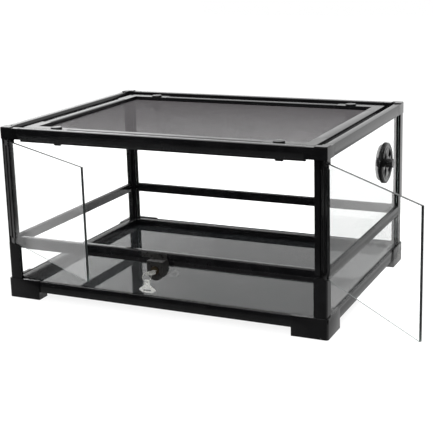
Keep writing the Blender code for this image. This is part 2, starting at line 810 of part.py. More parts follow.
def lid_corner_mesh():
    """Drawn inward from the lid's own corner; the hole takes a catch's shaft."""
    outline = rounded([
        (0, 0, LID_CORNER),
        (LID_ARM_X, 0),
        (LID_ARM_X, LID_BAR),
        (LID_BAR, LID_BAR),
        (LID_BAR, LID_ARM_Y),
        (0, LID_ARM_Y),
    ], 5)
    shaft = (LID_HALF_X - CATCH_X, LID_HALF_Y - CATCH_Y)
    hole = circle(shaft, CATCH_SHAFT_RADIUS + CLEARANCE, 24)
    slot_low = SCREEN_LIFT - CLEARANCE
    slot_high = SCREEN_LIFT + SCREEN_THICKNESS + CLEARANCE
    seat = LID_BAR - SCREEN_SEAT
    slot = block((seat, seat, slot_low), (LID_ARM_X + EPS, LID_ARM_Y + EPS, slot_high))
    return shaped(plate([outline, hole], 0, LID_THICKNESS), [slot])


def screen_mesh():
    """A flat net: a sheet with a rectangle of gaps."""
    half_x = LID_HALF_X - LID_BAR + SCREEN_SEAT - CLEARANCE
    half_y = LID_HALF_Y - LID_BAR + SCREEN_SEAT - CLEARANCE
    pitch_x = (2 * half_x - SCREEN_STRAND) / SCREEN_COLUMNS
    pitch_y = (2 * half_y - SCREEN_STRAND) / SCREEN_ROWS
    loops = [[(-half_x, -half_y), (half_x, -half_y), (half_x, half_y), (-half_x, half_y)]]
    for i in range(SCREEN_COLUMNS):
        for j in range(SCREEN_ROWS):
            x0 = -half_x + SCREEN_STRAND + i * pitch_x
            y0 = -half_y + SCREEN_STRAND + j * pitch_y
            x1 = x0 + pitch_x - SCREEN_STRAND
            y1 = y0 + pitch_y - SCREEN_STRAND
            loops.append([(x0, y0), (x0, y1), (x1, y1), (x1, y0)])
    return plate(loops, SCREEN_LIFT, SCREEN_LIFT + SCREEN_THICKNESS)


def catch_mesh():
    """A turning head on the lid, its shaft, and the tab below that turns under the ledge."""
    head_low = LID_TOP + CLEARANCE
    head_high = head_low + CATCH_HEAD
    head = turned([
        (0, head_high),
        (CATCH_HEAD_RADIUS - RAIL_EDGE, head_high),
        (CATCH_HEAD_RADIUS, head_high - RAIL_EDGE),
        (CATCH_HEAD_RADIUS, head_low),
        (0, head_low),
    ], 32)
    tab = moved(plate([[
        (-TAB_WIDTH / 2, TAB_TOP),
        (-TAB_WIDTH / 2, TAB_BOTTOM + TAB_TAPER),
        (-TAB_FOOT_WIDTH / 2, TAB_BOTTOM),
        (TAB_FOOT_WIDTH / 2, TAB_BOTTOM),
        (TAB_WIDTH / 2, TAB_BOTTOM + TAB_TAPER),
        (TAB_WIDTH / 2, TAB_TOP),
    ]], -TAB_THICKNESS / 2, TAB_THICKNESS / 2), UPRIGHT)
    shaft = rod((0, 0), CATCH_SHAFT_RADIUS, TAB_TOP - EPS, head_low + CATCH_HEAD / 3)
    reach = CATCH_HEAD_RADIUS + EPS
    slot = block((-reach, -CATCH_SLOT / 2, head_high - CATCH_SLOT_DEPTH), (reach, CATCH_SLOT / 2, head_high + EPS))
    return shaped(head, [slot], [shaft, tab])


def build_lid():
    lid = station("lid_seat", Matrix.Translation((0, 0, LID_BOTTOM)), DATUM)
    bars = {
        "front": (LID_HALF_Y, LID_HALF_X - LID_ARM_X),
        "right": (LID_HALF_X, LID_HALF_Y - LID_ARM_Y),
        "rear": (LID_HALF_Y, LID_HALF_X - LID_ARM_X),
        "left": (LID_HALF_X, LID_HALF_Y - LID_ARM_Y),
    }
    for i, (side, (out, half)) in enumerate(bars.items()):
        place = Matrix.Rotation(math.radians(90 * i), 4, "Z") @ Matrix.Translation((0, -out, 0))
        piece("lid_" + side + "_bar", run(lid_bar_outline(), half - CLEARANCE), "frame_black", lid, place)
    corner_mesh = lid_corner_mesh()
    catch = catch_mesh()
    for corner, (x, y) in CORNERS.items():
        place = Matrix.Translation((x * LID_HALF_X, y * LID_HALF_Y, 0))
        mesh = moved(corner_mesh, Matrix.Diagonal((-x, -y, 1, 1)))
        piece("lid_" + corner + "_corner", mesh, "frame_black", lid, place)
        axis = Matrix.Translation((x * CATCH_X, y * CATCH_Y, 0))
        piece("lid_" + corner + "_catch", catch.copy(), "frame_black", DATUM, axis)
    piece("screen_mesh", screen_mesh(), "screen_black", lid)


# Lock

def bolt_pocket_back():
    return -DEPTH / 2 - CLEARANCE - BRACKET


def bolt_front():
    return bolt_pocket_back() - CLEARANCE - BOLT_THICKNESS


def bolt_outline(spare):
    """A wide head on a narrower stem with sloped shoulders, grown all round by a clearance."""
    wide = BOLT_WIDTH / 2 + spare
    stem = BOLT_STEM_WIDTH / 2 + spare
    step = LOCK_AXIS_Z - spare
    return [
        (-stem, BOLT_BOTTOM - spare),
        (stem, BOLT_BOTTOM - spare),
        (stem, step - BOLT_SHOULDER),
        (wide, step),
        (wide, BOLT_TOP),
        (-wide, BOLT_TOP),
        (-wide, step),
        (-stem, step - BOLT_SHOULDER),
    ]


def upright_plate(loops, front, back):
    """An outline in XZ, from front to back along Y."""
    return moved(plate(loops, -back, -front), UPRIGHT)


def lock_housing_mesh():
    """A round-bottomed housing hung on the sill by a bent strip that hooks behind the closed doors."""
    half = LOCK_WIDTH / 2
    round_z = LOCK_BOTTOM + half
    outline = [(half, LOCK_TOP), (-half, LOCK_TOP)]
    outline += arc((0, round_z), half, math.pi, math.tau, 20)
    back = bolt_pocket_back()
    face = -DEPTH / 2 - CLEARANCE
    body = bevelled(upright_plate([outline], LOCK_FRONT, back + BRACKET / 2), LOCK_EDGE)
    bridge_low = SILL_WALL_TOP + CLEARANCE
    bridge_high = bridge_low + BRACKET
    riser_back = -DEPTH / 2 + SILL_LIP - CLEARANCE
    riser_front = riser_back - BRACKET
    left = -BRACKET_LEFT_REACH
    right = BRACKET_RIGHT_REACH
    rise = SILL_WALL_TOP + BRACKET_STAND
    tail_low = SILL_WALL_TOP - BRACKET_DROP
    strip = moved(plate([[
        (back, tail_low),
        (face, tail_low),
        (face, bridge_low),
        (riser_front, bridge_low),
        (riser_front, SILL_CHANNEL_FLOOR + CLEARANCE),
        (riser_back, SILL_CHANNEL_FLOOR + CLEARANCE),
        (riser_back, rise - EPS),
        (riser_front, rise - EPS),
        (riser_front, bridge_high),
        (back, bridge_high),
    ]], -half + EPS, right), SECTION)
    riser = block((left, riser_front, SILL_WALL_TOP), (right + EPS / 2, riser_back, rise))
    tail = block((-half - EPS, back, tail_low + EPS), (half + EPS, face, bridge_low - EPS))
    body = shaped(body, (), [strip, riser, tail])
    pocket_outline = bolt_outline(CLEARANCE)
    pocket_outline[4] = (pocket_outline[4][0], LOCK_TOP + EPS)
    pocket_outline[5] = (pocket_outline[5][0], LOCK_TOP + EPS)
    pocket = upright_plate([pocket_outline], bolt_front() - CLEARANCE, back)
    bore = moved(rod((0, LOCK_AXIS_Z), CYLINDER_RADIUS + CLEARANCE, -bolt_front(), -LOCK_FRONT + EPS, 32), UPRIGHT)
    return shaped(body, [pocket, bore])


def cam_pin_place(turn):
    angle = math.radians(-45) + turn
    return (CAM_THROW * math.cos(angle), LOCK_AXIS_Z + CAM_THROW * math.sin(angle))


def cylinder_mesh():
    """The lock's turning plug, with a keyway in front and the cam pin behind."""
    rear = bolt_front() - CLEARANCE
    front = LOCK_FRONT - CYLINDER_PROUD
    plug = upright_plate([circle((0, LOCK_AXIS_Z), CYLINDER_RADIUS, 32)], front, rear)
    pin_rear = bolt_front() + BOLT_THICKNESS / 2
    pin = upright_plate([circle(cam_pin_place(0), CAM_PIN_RADIUS, 16)], rear - EPS, pin_rear)
    keyway = block(
        (-KEY_BLADE_WIDTH / 2 - CLEARANCE, front - EPS, LOCK_AXIS_Z - KEY_THICKNESS / 2 - CLEARANCE),
        (KEY_BLADE_WIDTH / 2 + CLEARANCE, rear - KEY_TIP_GAP, LOCK_AXIS_Z + KEY_THICKNESS / 2 + CLEARANCE),
    )
    return shaped(plug, [keyway], [pin])


def bolt_mesh():
    """The bolt with the cross slot that the cam pin lifts it by."""
    reach = CAM_PIN_RADIUS + CLEARANCE
    rise = reach + CAM_THROW * 0.03 + CLEARANCE / 2
    x0 = cam_pin_place(0)[0] - reach - CLEARANCE
    x1 = CAM_THROW + reach + CLEARANCE
    z = cam_pin_place(0)[1]
    body = upright_plate([bolt_outline(0)], bolt_front(), bolt_front() + BOLT_THICKNESS)
    slot = block(
        (x0, bolt_front() - EPS, z - rise),
        (x1, bolt_front() + BOLT_THICKNESS / 2 + CLEARANCE, z + rise),
    )
    return shaped(body, [slot])


def key_hole():
    """Where the ring passes through the key's bow, off its middle towards the ring."""
    return (
        KEY_HOLE_OFFSET * math.cos(RING_HEADING),
        KEY_BOW_Y + KEY_HOLE_OFFSET * math.sin(RING_HEADING),
    )


def key_mesh():
    """Flat key with its bow outward, drawn in plan about the lock's axis."""
    tip = bolt_front() - CLEARANCE - KEY_TIP_GAP - CLEARANCE
    half = KEY_BLADE_WIDTH / 2
    meet = math.asin(half / KEY_BOW_RADIUS)
    bow = arc((0, KEY_BOW_Y), KEY_BOW_RADIUS, math.pi / 2 + meet, math.pi / 2 - meet + math.tau, 28)
    outline = [(half, tip - half / 2), (half / 2, tip), (-half / 2, tip), (-half, tip - half / 2)] + bow
    low = LOCK_AXIS_Z - KEY_THICKNESS / 2
    return plate([outline, circle(key_hole(), KEY_HOLE_RADIUS, 20)], low, low + KEY_THICKNESS)


def ring_centre():
    """The ring hangs on the bow's rim: its crown just clears the key, and it passes through the hole."""
    crown = LOCK_AXIS_Z + KEY_THICKNESS / 2 + CLEARANCE + RING_WIRE
    rim = KEY_BOW_RADIUS - KEY_HOLE_OFFSET - KEY_HOLE_RADIUS
    reach = KEY_HOLE_RADIUS + rim / 2
    x, y = key_hole()
    return (
        x + reach * math.cos(RING_HEADING),
        y + reach * math.sin(RING_HEADING),
        crown - RING_RADIUS,
    )


def ring_mesh():
    profile = circle((RING_RADIUS, 0), RING_WIRE, 8)
    upright = Matrix.Rotation(RING_HEADING, 4, "Z") @ UPRIGHT
    return moved(turned(profile, 32), upright)


def tag_mesh():
    """A bell-shaped tag, drawn in XZ about the ring's lowest point."""
    hole_z = RING_WIRE + CLEARANCE - TAG_HOLE_RADIUS
    crown = hole_z + 2 * TAG_HOLE_RADIUS
    foot = crown - TAG_HEIGHT
    wide = foot + TAG_FOOT_HEIGHT
    neck = TAG_NECK_WIDTH / 2
    outline = rounded([
        (-neck, crown, 0.0015),
        (-neck, crown - TAG_NECK_HEIGHT, 0.004),
        (-TAG_WIDTH / 2, wide, 0.001),
        (-TAG_FOOT_WIDTH / 2, foot, 0.003),
        (TAG_FOOT_WIDTH / 2, foot, 0.003),
        (TAG_WIDTH / 2, wide, 0.001),
        (neck, crown - TAG_NECK_HEIGHT, 0.004),
        (neck, crown, 0.0015),
    ], 4)
    slot_z = wide - TAG_SLOT_HEIGHT / 4
    end = TAG_SLOT_WIDTH / 2 - TAG_SLOT_HEIGHT / 2
    slot = arc((end, slot_z), TAG_SLOT_HEIGHT / 2, -math.pi / 2, math.pi / 2, 6)
    slot += arc((-end, slot_z), TAG_SLOT_HEIGHT / 2, math.pi / 2, math.pi * 1.5, 6)
    hole = circle((0, hole_z), TAG_HOLE_RADIUS, 16)
    return upright_plate([outline, hole, slot], -TAG_THICKNESS / 2, TAG_THICKNESS / 2)


def build_lock():
    """The meshes are drawn from the ground up, and each origin is put on the axis that it turns about."""
    lock = station("lock_axis", Matrix.Translation((LOCK_X, 0, LOCK_AXIS_Z)), DATUM)
    down = Matrix.Translation((0, 0, -LOCK_AXIS_Z))
    piece("lock_housing", moved(lock_housing_mesh(), down), "lock_black", lock)
    piece("lock_cylinder", moved(cylinder_mesh(), down), "steel", lock)
    piece("lock_bolt", moved(bolt_mesh(), down), "lock_black", lock)
    piece("lock_key", moved(key_mesh(), down), "steel", lock)
    x, y, z = ring_centre()
    crown = down @ Matrix.Translation((x, y, z + RING_RADIUS))
    ring = moved(ring_mesh(), Matrix.Translation((0, 0, -RING_RADIUS)))
    piece("key_ring", ring, "steel", lock, crown)
    piece("key_tag", tag_mesh(), "steel", lock, crown @ Matrix.Translation((0, 0, -2 * RING_RADIUS)))


# Vent

def sector_cutters(low, high):
    cutters = []
    for i in range(SECTORS):
        middle = math.tau * (i + 0.5) / SECTORS
        start, end = middle - SECTOR_ANGLE / 2, middle + SECTOR_ANGLE / 2
        outline = arc((0, 0), SECTOR_OUTER, start, end, 6) + arc((0, 0), SECTOR_INNER, end, start, 4)
        cutters.append(plate([outline], low, high))
    return cutters


def vent_bush_mesh():
    """Flange outside the pane, sectored grille across it and the threaded neck through the pane."""
    inner = VENT_NECK_RADIUS - VENT_NECK_WALL
    body = turned([
        (VENT_HUB_RADIUS, VENT_FLANGE),
        (VENT_RADIUS - RAIL_EDGE, VENT_FLANGE),
        (VENT_RADIUS, VENT_FLANGE - RAIL_EDGE),
        (VENT_RADIUS, 0),
        (VENT_NECK_RADIUS, 0),
        (VENT_NECK_RADIUS, -VENT_NECK_LENGTH),
        (inner, -VENT_NECK_LENGTH),
        (inner, 0),
        (VENT_HUB_RADIUS, 0),
    ], 48)
    return shaped(body, sector_cutters(-EPS, VENT_FLANGE + EPS))


def dial_mesh():
    """Stepped dial with raised rings, the sectors of the grille and a ridged knob; its axle is behind."""
    rim = DIAL_THICKNESS - DIAL_RIM_DROP
    valley = DIAL_THICKNESS - DIAL_VALLEY_DROP
    ring_end = DIAL_RING_RADIUS + DIAL_RING_WIDTH
    body = turned([
        (0, rim),
        (DIAL_HUB_RADIUS - DIAL_DRAFT, rim),
        (DIAL_HUB_RADIUS, DIAL_WEB),
        (DIAL_RING_RADIUS - DIAL_DRAFT, DIAL_WEB),
        (DIAL_RING_RADIUS, DIAL_THICKNESS),
        (ring_end, DIAL_THICKNESS),
        (ring_end + DIAL_DRAFT, valley),
        (DIAL_RIM_RADIUS - DIAL_DRAFT, valley),
        (DIAL_RIM_RADIUS, rim),
        (DIAL_RIM_RADIUS + DIAL_RIM_WIDTH, rim),
        (DIAL_RADIUS, DIAL_WEB / 2),
        (DIAL_RADIUS, 0),
        (0, 0),
    ], 48)
    ridge = []
    for i in range(KNOB_RIDGES):
        start = math.tau * i / KNOB_RIDGES
        for step, radius in ((0.0, KNOB_RADIUS), (0.5, KNOB_RADIUS), (0.6, KNOB_RADIUS - KNOB_RIDGE),
                             (0.9, KNOB_RADIUS - KNOB_RIDGE)):
            angle = start + math.tau / KNOB_RIDGES * step
            ridge.append((radius * math.cos(angle), radius * math.sin(angle)))
    knob = plate([ridge], DIAL_WEB / 2, DIAL_THICKNESS + KNOB_HEIGHT)
    axle = rod((0, 0), AXLE_RADIUS, -VENT_FLANGE - EPS, DIAL_WEB / 2 - EPS / 2, 20)
    return shaped(body, sector_cutters(-EPS, DIAL_THICKNESS + EPS), [knob, axle])


def vent_nut_mesh():
    """A gripped ring on the neck, inside the pane."""
    outline = []
    for i in range(VENT_NUT_RIDGES):
        for step, radius in ((0.0, VENT_RADIUS), (0.62, VENT_RADIUS), (0.75, VENT_RADIUS - VENT_NUT_GRIP),
                             (0.88, VENT_RADIUS - VENT_NUT_GRIP)):
            angle = math.tau * (i + step) / VENT_NUT_RIDGES
            outline.append((radius * math.cos(angle), radius * math.sin(angle)))
    hole = circle((0, 0), VENT_NECK_RADIUS + CLEARANCE, 48)
    return plate([outline, hole], -VENT_NUT, 0)


def build_vent():
    outer = WIDTH / 2 - GLASS_INSET + CLEARANCE
    vent = station("vent_axis", Matrix.Translation((outer, VENT_Y, VENT_Z)) @ SIDEWAYS, DATUM)
    piece("vent_bush", vent_bush_mesh(), "frame_black", vent)
    seat = Matrix.Translation((0, 0, VENT_FLANGE + CLEARANCE))
    piece("vent_dial", dial_mesh(), "frame_black", vent, seat)
    inside = Matrix.Translation((0, 0, -GLASS - 2 * CLEARANCE))
    piece("vent_nut", vent_nut_mesh(), "frame_black", vent, inside)


def centre_model():
    """Move the datum so that the bounding box's bottom centre is the origin."""
    graph = bpy.context.evaluated_depsgraph_get()
    low, high = [math.inf] * 3, [-math.inf] * 3
    for obj in PARTS.objects:
        if obj.type != "MESH":
            continue
        world = obj.evaluated_get(graph).matrix_world
        for vertex in obj.data.vertices:
            point = world @ vertex.co
            low = [min(a, b) for a, b in zip(low, point)]
            high = [max(a, b) for a, b in zip(high, point)]
    DATUM.location = (-(low[0] + high[0]) / 2, -(low[1] + high[1]) / 2, -low[2])
    bpy.context.view_layer.update()
    print("datum", [round(value, 6) for value in DATUM.location])


build_frame()
build_panes()
build_door("left_door", -1, LEFT_DOOR_OPEN)
build_door("right_door", 1, RIGHT_DOOR_OPEN)
build_lid()
build_lock()
build_vent()
centre_model()
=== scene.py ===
import json
import math

import bmesh
import bpy
from mathutils import Matrix, Vector


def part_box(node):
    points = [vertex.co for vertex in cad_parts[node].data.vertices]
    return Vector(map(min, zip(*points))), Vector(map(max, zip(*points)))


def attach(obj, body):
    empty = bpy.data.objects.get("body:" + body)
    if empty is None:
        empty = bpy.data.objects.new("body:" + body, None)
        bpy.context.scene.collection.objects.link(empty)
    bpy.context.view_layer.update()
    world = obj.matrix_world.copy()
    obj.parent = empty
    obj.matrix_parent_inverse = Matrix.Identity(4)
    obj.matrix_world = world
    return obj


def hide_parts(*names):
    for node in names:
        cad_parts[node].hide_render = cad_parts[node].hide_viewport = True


# A black framed glass terrarium with its doors open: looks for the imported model, in metres.
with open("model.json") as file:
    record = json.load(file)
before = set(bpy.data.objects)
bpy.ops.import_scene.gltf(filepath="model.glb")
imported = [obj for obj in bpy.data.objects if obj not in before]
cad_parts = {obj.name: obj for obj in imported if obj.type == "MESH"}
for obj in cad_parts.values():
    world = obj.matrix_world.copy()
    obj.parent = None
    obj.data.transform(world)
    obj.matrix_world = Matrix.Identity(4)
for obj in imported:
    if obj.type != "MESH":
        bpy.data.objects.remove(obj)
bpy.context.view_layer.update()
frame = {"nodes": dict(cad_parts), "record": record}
scene = bpy.context.scene

# Camera and studio

cameraView = {
    "place": (0.70177, -1.58758, 0.62955),
    "turn": (76.7581, 1.4618, 24.3162),
    "lens": 86.4653,
    "sensor": 36,
    "shift": (-0.016896, -0.087915),
}


def addCamera():
    data = bpy.data.cameras.new("photoCamera")
    data.sensor_width = cameraView["sensor"]
    data.lens = cameraView["lens"]
    data.shift_x, data.shift_y = cameraView["shift"]
    camera = bpy.data.objects.new("photoCamera", data)
    camera.location = cameraView["place"]
    camera.rotation_euler = [math.radians(angle) for angle in cameraView["turn"]]
    scene.collection.objects.link(camera)
    scene.camera = camera


room = {
    "light": 0.95,
    "darkest": 0.02,
    "backdrop": (-0.8, -0.5),  # how far forward a direction points where the white backdrop ends
    "ceiling": (0.25, 0.6),  # how high it points where the soft ceiling light starts
    "floorEdge": (-0.275, -0.245),  # below this it meets the floor
    "floor": (0.55, 0.13),  # the floor's light behind and beside the object, and in front of it
    "frontOfFloor": (0.3, 0.95),
    "leftWall": (0.122, 0.146),  # the left wall's far end, as the backward share of a leftward direction
    "leftWallNear": (-0.6, -0.3),  # and its near end
    "leftWallSide": (0.3, 0.5),  # how far left a direction points where that wall begins
    "leastLeftward": 0.01,  # keeps that share from a division by zero
    "rearLeft": (0.41, 0.55),  # how far left it points where the backdrop grows brighter
    "rearLeftExtra": 0.75,
    "throughGlass": 1.58,  # white seen through up to three panes, which hold some of it back
}


def addNode(tree, kind, **values):
    node = tree.nodes.new(kind)
    for name, value in values.items():
        setattr(node, name, value)
    return node


def mathNode(tree, operation, first, second):
    node = addNode(tree, "ShaderNodeMath", operation=operation)
    for socket, value in zip(node.inputs, (first, second)):
        if isinstance(value, (int, float)):
            socket.default_value = value
        else:
            tree.links.new(value, socket)
    return node.outputs[0]


def times(tree, first, second):
    return mathNode(tree, "MULTIPLY", first, second)


def larger(tree, *values):
    result = values[0]
    for value in values[1:]:
        result = mathNode(tree, "MAXIMUM", result, value)
    return result


def fade(tree, value, near, far, start=0.0, end=1.0, smooth=True):
    node = addNode(tree, "ShaderNodeMapRange", interpolation_type="SMOOTHSTEP" if smooth else "LINEAR")
    for name, number in (("From Min", near), ("From Max", far), ("To Min", start), ("To Max", end)):
        node.inputs[name].default_value = number
    tree.links.new(value, node.inputs["Value"])
    return node.outputs["Result"]


def mixShaders(tree, share, first, second, output):
    mix = addNode(tree, "ShaderNodeMixShader")
    tree.links.new(share, mix.inputs["Fac"])
    tree.links.new(first.outputs[0], mix.inputs[1])
    tree.links.new(second.outputs[0], mix.inputs[2])
    tree.links.new(mix.outputs[0], output.inputs["Surface"])


def mirrored(tree, path):
    # 1 for a ray that was mirrored on its way, 0 for any other
    return mathNode(tree, "MINIMUM", path.outputs["Glossy Depth"], 1.0)


def straightThrough(tree, path):
    # 1 for a ray from the camera that has passed panes only, with no mirroring on its way
    unmirrored = mathNode(tree, "SUBTRACT", 1.0, mirrored(tree, path))
    return times(tree, path.outputs["Is Transmission Ray"], unmirrored)


def whiteSeen(tree, path):
    # What the camera sees as white, straight on or through panes
    throughPanes = times(tree, straightThrough(tree, path), room["throughGlass"])
    return larger(tree, path.outputs["Is Camera Ray"], throughPanes)


def leftWallLight(tree, backward, leftward):
    share = mathNode(tree, "DIVIDE", backward, larger(tree, leftward, room["leastLeftward"]))
    farEnd = fade(tree, share, *room["leftWall"], 1.0, 0.0)
    nearEnd = fade(tree, share, *room["leftWallNear"])
    return times(tree, times(tree, farEnd, nearEnd), fade(tree, leftward, *room["leftWallSide"]))


def addRoom():
    # A dark room with a white backdrop, a left wall, a ceiling light and a pale floor.
    # Where the camera looks straight at it, it is plain white.
    world = bpy.data.worlds.new("room")
    world.use_nodes = True
    scene.world = world
    tree = world.node_tree
    background = tree.nodes["Background"]
    coords = addNode(tree, "ShaderNodeTexCoord")
    split = addNode(tree, "ShaderNodeSeparateXYZ")
    tree.links.new(coords.outputs["Generated"], split.inputs[0])
    backward, upward = split.outputs["Y"], split.outputs["Z"]
    forward = times(tree, backward, -1.0)
    leftward = times(tree, split.outputs["X"], -1.0)
    backdrop = fade(tree, forward, *room["backdrop"], 1.0, 0.0)
    underEdge = fade(tree, upward, *room["floorEdge"], 1.0, 0.0)
    aboveEdge = mathNode(tree, "SUBTRACT", 1.0, underEdge)
    walls = times(tree, larger(tree, backdrop, fade(tree, upward, *room["ceiling"])), aboveEdge)
    floor = times(tree, fade(tree, forward, *room["frontOfFloor"], *room["floor"]), underEdge)
    around = larger(tree, mathNode(tree, "ADD", walls, floor), leftWallLight(tree, backward, leftward))
    lit = fade(tree, around, 0.0, 1.0, room["darkest"], room["light"], smooth=False)
    rearLeft = times(tree, fade(tree, leftward, *room["rearLeft"], 0.0, room["rearLeftExtra"]), backdrop)
    lit = mathNode(tree, "ADD", lit, times(tree, rearLeft, aboveEdge))
    path = addNode(tree, "ShaderNodeLightPath")
    background.inputs["Color"].default_value = (1, 1, 1, 1)
    tree.links.new(larger(tree, lit, whiteSeen(tree, path)), background.inputs["Strength"])


stageFloor = {"halfSize": 6.0, "paint": 0.2, "glow": 0.87}


def floorMaterial():
    # Grey paint that takes shadows, with a glow for the camera; mirrored rays see the room behind it
    material = bpy.data.materials.new("stageFloor")
    material.use_nodes = True
    tree = material.node_tree
    tree.nodes.clear()
    path = addNode(tree, "ShaderNodeLightPath")
    paint = addNode(tree, "ShaderNodeBsdfDiffuse")
    paint.inputs["Color"].default_value = (*[stageFloor["paint"]] * 3, 1)
    glow = addNode(tree, "ShaderNodeEmission")
    tree.links.new(times(tree, whiteSeen(tree, path), stageFloor["glow"]), glow.inputs["Strength"])
    both = addNode(tree, "ShaderNodeAddShader")
    tree.links.new(paint.outputs[0], both.inputs[0])
    tree.links.new(glow.outputs[0], both.inputs[1])
    unseen = addNode(tree, "ShaderNodeBsdfTransparent")
    output = addNode(tree, "ShaderNodeOutputMaterial")
    mixShaders(tree, mirrored(tree, path), both, unseen, output)
    return material


def addFloor():
    bm = bmesh.new()
    bmesh.ops.create_grid(bm, x_segments=1, y_segments=1, size=stageFloor["halfSize"])
    mesh = bpy.data.meshes.new("stageFloor")
    bm.to_mesh(mesh)
    bm.free()
    mesh.materials.append(floorMaterial())
    floor = bpy.data.objects.new("stageFloor", mesh)
    floor.visible_glossy = False
    scene.collection.objects.link(floor)


lamps = {
    "overheadLamp": {"place": (-0.2, 0.3, 2.4), "aim": (-0.1, 0.1, 0.2), "size": (2.4, 1.6), "watts": 26,
                     "mirrored": True},
    "frontLamp": {"place": (0.9, -2.3, 1.5), "aim": (-0.1, 0.0, 0.1), "size": (1.6, 1.2), "watts": 34,
                  "mirrored": False},
}


def addLamps():
    for name, lamp in lamps.items():
        data = bpy.data.lights.new(name, "AREA")
        data.shape = "RECTANGLE"
        data.size, data.size_y = lamp["size"]
        data.energy = lamp["watts"]
        light = bpy.data.objects.new(name, data)
        light.visible_glossy = lamp["mirrored"]
        light.location = lamp["place"]
        away = Vector(lamp["place"]) - Vector(lamp["aim"])
        light.rotation_euler = away.to_track_quat("Z", "Y").to_euler()
        scene.collection.objects.link(light)


scene.view_settings.view_transform = "Standard"
addCamera()
addRoom()
addFloor()
addLamps()
print("camera and studio ready")

# Materials

shadeBand = (0.35, 0.65)  # the part of a noise's range over which the shade changes
shineBand = (0.3, 0.7)  # and over which the roughness does


def startMaterial(name):
    material = bpy.data.materials.new(name)
    material.use_nodes = True
    tree = material.node_tree
    return material, tree, tree.nodes["Principled BSDF"]


def objectNoise(tree, scale, detail, stretch=(1, 1, 1)):
    coords = addNode(tree, "ShaderNodeTexCoord")
    mapping = addNode(tree, "ShaderNodeMapping")
    mapping.inputs["Scale"].default_value = stretch
    noise = addNode(tree, "ShaderNodeTexNoise")
    noise.inputs["Scale"].default_value = scale
    noise.inputs["Detail"].default_value = detail
    tree.links.new(coords.outputs["Object"], mapping.inputs["Vector"])
    tree.links.new(mapping.outputs["Vector"], noise.inputs["Vector"])
    return noise.outputs["Fac"]


def paintBetween(tree, shader, factor, shades):
    ramp = addNode(tree, "ShaderNodeValToRGB")
    for element, position, shade in zip(ramp.color_ramp.elements, shadeBand, shades):
        element.position = position
        element.color = (*shade, 1)
    tree.links.new(factor, ramp.inputs["Fac"])
    tree.links.new(ramp.outputs["Color"], shader.inputs["Base Color"])


def addRelief(tree, shader, relief):
    bump = addNode(tree, "ShaderNodeBump")
    bump.inputs["Strength"].default_value = relief["strength"]
    bump.inputs["Distance"].default_value = relief["distance"]
    tree.links.new(objectNoise(tree, *relief["noise"]), bump.inputs["Height"])
    tree.links.new(bump.outputs["Normal"], shader.inputs["Normal"])


def wornMaterial(name, look):
    # Two shades in patches that change the shine too, and a fine relief where the look has one
    material, tree, shader = startMaterial(name)
    patches = objectNoise(tree, *look["patches"])
    paintBetween(tree, shader, patches, look["shades"])
    shine = fade(tree, patches, *look.get("shineBand", shineBand), *look["roughness"])
    tree.links.new(shine, shader.inputs["Roughness"])
    for socket, value in look["sockets"].items():
        shader.inputs[socket].default_value = value
    if "relief" in look:
        addRelief(tree, shader, look["relief"])
    return material


plastic = {
    "patches": (35, 4),
    "shades": ((0.0040, 0.0040, 0.0044), (0.0072, 0.0072, 0.0078)),
    "roughness": (0.10, 0.17),
    "sockets": {"Specular IOR Level": 0.5, "IOR": 1.48},
    "relief": {"noise": (900, 3), "strength": 0.25, "distance": 0.00003},
    "mouldedGrain": 1500,
    "lineStretch": 0.01,  # draw lines are so much slower to change along the piece than across it
}


def framePlastic(name, direction, shine=plastic["sockets"]["Specular IOR Level"]):
    # Drawn pieces have lines along their length, moulded ones an even grain
    scale, detail = plastic["relief"]["noise"]
    if direction == "moulded":
        scale = plastic["mouldedGrain"]
    stretch = [plastic["lineStretch"] if axis == direction else 1 for axis in "XYZ"]
    sockets = {**plastic["sockets"], "Specular IOR Level": shine}
    relief = {**plastic["relief"], "noise": (scale, detail, stretch)}
    return wornMaterial(name, {**plastic, "sockets": sockets, "relief": relief})


clearGlass = {
    "ior": 1.5,
    "patches": (14, 5),
    "face": {
        "shades": ((0.985, 0.996, 0.992), (1.0, 1.0, 1.0)),
        "roughness": 0.0,
        "shadow": (0.92, 0.96, 0.94),
    },
    "ground": {
        "shades": ((0.26, 0.40, 0.36), (0.34, 0.48, 0.44)),
        "roughness": 0.28,
        "shadow": (0.5, 0.6, 0.56),
    },
}


def clearMaterial(name, look):
    # Glass whose shadow is a light tint
    material, tree, shader = startMaterial(name)
    paintBetween(tree, shader, objectNoise(tree, *clearGlass["patches"]), look["shades"])
    shader.inputs["Transmission Weight"].default_value = 1.0
    shader.inputs["IOR"].default_value = clearGlass["ior"]
    shader.inputs["Roughness"].default_value = look["roughness"]
    path = addNode(tree, "ShaderNodeLightPath")
    shadow = addNode(tree, "ShaderNodeBsdfTransparent")
    shadow.inputs["Color"].default_value = (*look["shadow"], 1)
    mixShaders(tree, path.outputs["Is Shadow Ray"], shader, shadow, tree.nodes["Material Output"])
    return material


